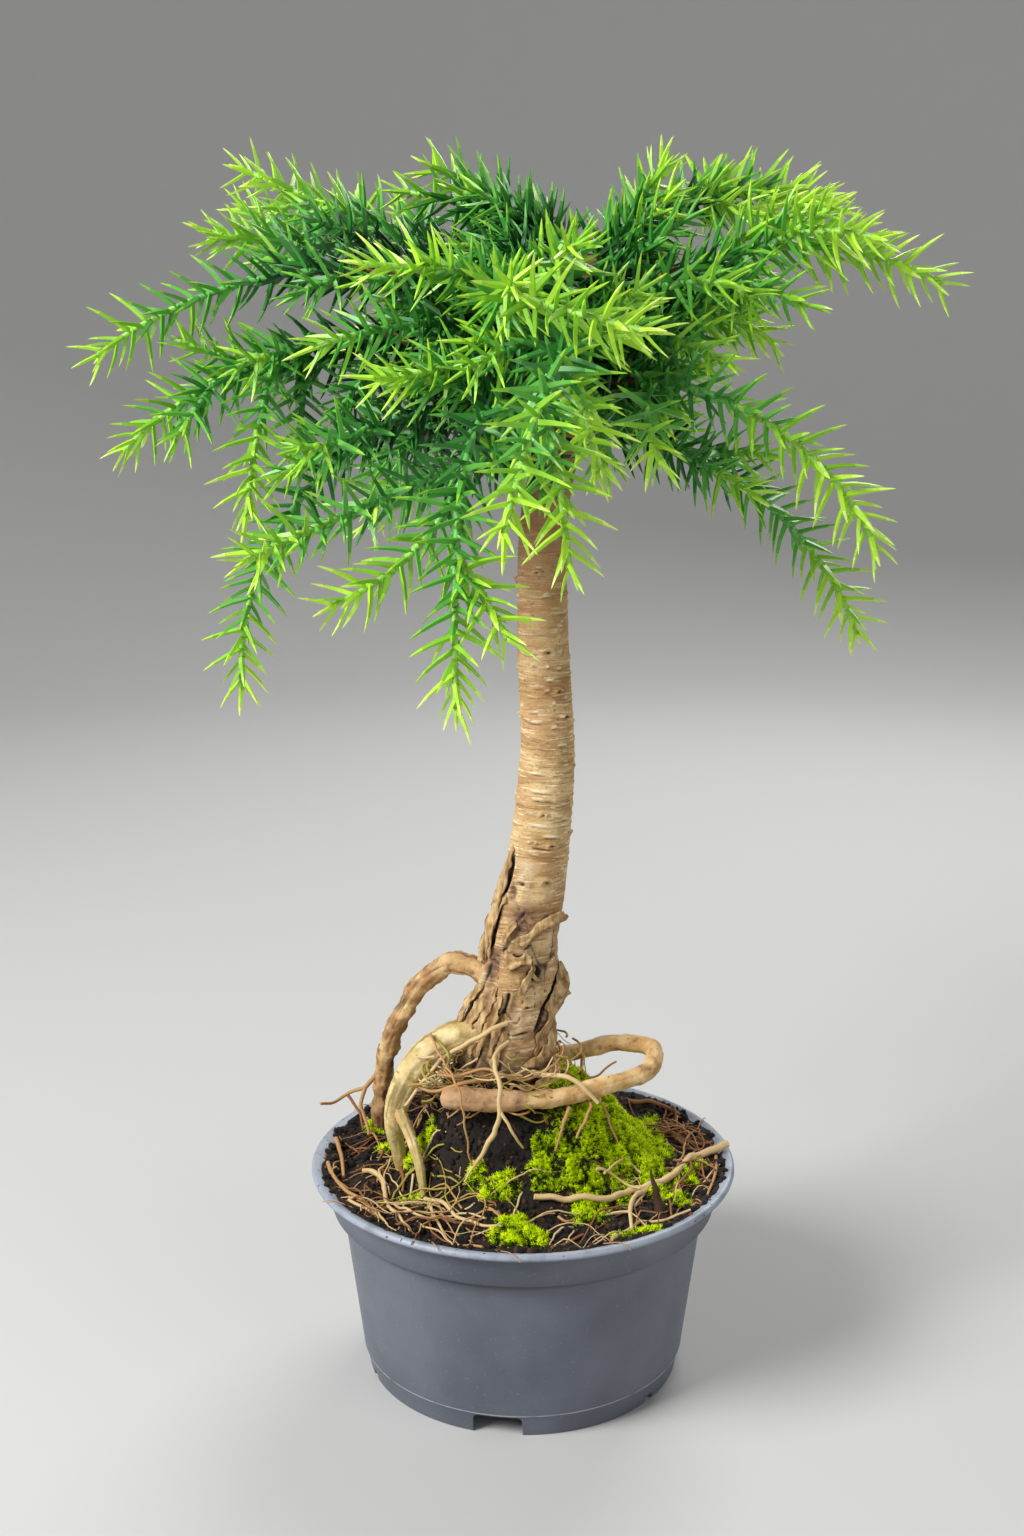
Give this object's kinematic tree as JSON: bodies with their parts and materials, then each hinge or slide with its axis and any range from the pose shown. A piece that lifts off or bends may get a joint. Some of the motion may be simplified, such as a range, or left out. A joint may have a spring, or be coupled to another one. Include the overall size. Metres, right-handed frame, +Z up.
{
  "type": "potted hoop pine bonsai",
  "caption": "Bonsai hoop pine with a leaning bare trunk, arching exposed roots and a spreading needled crown, in a round grey nursery pot filled with mossy soil.",
  "frame": {"origin": "middle of the pot's flat underside, where it stands", "axes": "+Z up along the pot's axis, +X to the right and +Y to the back as the picture shows it"},
  "size_m": [0.3176, 0.3333, 0.4774],
  "materials": {
    "pot_plastic": "satin",
    "soil": "matte",
    "moss": "matte",
    "trunk_bark": "matte",
    "root_bark": "matte",
    "bough_bark": "matte",
    "needles": "satin"
  },
  "bodies": {
    "root": {"bough_back_left": "bough_bark", "bough_back_long": "bough_bark", "bough_back_right": "bough_bark", "bough_front_droop": "bough_bark", "bough_front_high": "bough_bark", "bough_front_main": "bough_bark", "bough_left_droop": "bough_bark", "bough_left_front": "bough_bark", "bough_left_long": "bough_bark", "bough_left_lower": "bough_bark", "bough_left_upper": "bough_bark", "bough_right_back_droop": "bough_bark", "bough_right_droop": "bough_bark", "bough_right_long": "bough_bark", "foliage_back_left": "needles", "foliage_back_left_droop": "needles", "foliage_back_long": "needles", "foliage_back_right": "needles", "foliage_back_right_droop": "needles", "foliage_front_droop": "needles", "foliage_front_high": "needles", "foliage_front_left_high": "needles", "foliage_front_left_middle": "needles", "foliage_front_main": "needles", "foliage_front_right": "needles", "foliage_left_droop": "needles", "foliage_left_front": "needles", "foliage_left_front_middle": "needles", "foliage_left_front_upper": "needles", "foliage_left_long": "needles", "foliage_left_lower": "needles", "foliage_left_middle": "needles", "foliage_left_upper": "needles", "foliage_right_back_droop": "needles", "foliage_right_droop": "needles", "foliage_right_long": "needles", "foliage_right_middle": "needles", "foliage_right_upper": "needles", "foliage_top_left": "needles", "foliage_top_right": "needles", "moss_front": "moss", "moss_mat": "moss", "pot": "pot_plastic", "root_left_arch_lower": "root_bark", "root_left_arch_upper": "root_bark", "root_left_thick": "root_bark", "root_left_toe": "root_bark", "root_right_loop_back": "root_bark", "root_right_loop_front": "root_bark", "soil": "soil", "trunk": "trunk_bark"}
  },
  "joints": []
}
